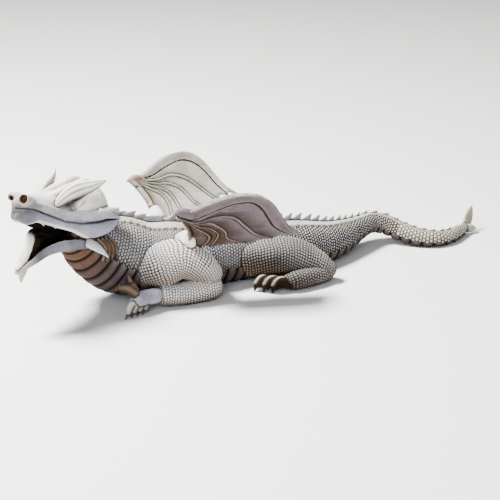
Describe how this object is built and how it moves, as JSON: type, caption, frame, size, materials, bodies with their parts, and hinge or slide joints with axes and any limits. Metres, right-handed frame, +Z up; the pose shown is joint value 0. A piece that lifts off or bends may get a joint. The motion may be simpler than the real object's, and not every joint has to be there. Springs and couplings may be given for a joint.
{
  "type": "dragon statue",
  "caption": "Lying garden dragon cast in one piece, head raised with an open mouth, wings half raised over its back, crouched legs and a curving tail.",
  "frame": {"origin": "on the ground under the belly, on the flat of the underside", "axes": "+X from the nose towards the tail, +Y to the dragon's right, +Z up"},
  "size_m": [0.8451, 0.2589, 0.2126],
  "materials": {
    "stone": "matt, carved scales with dark wash in the grooves"
  },
  "bodies": {
    "root": {"dragon": "stone"}
  },
  "joints": []
}
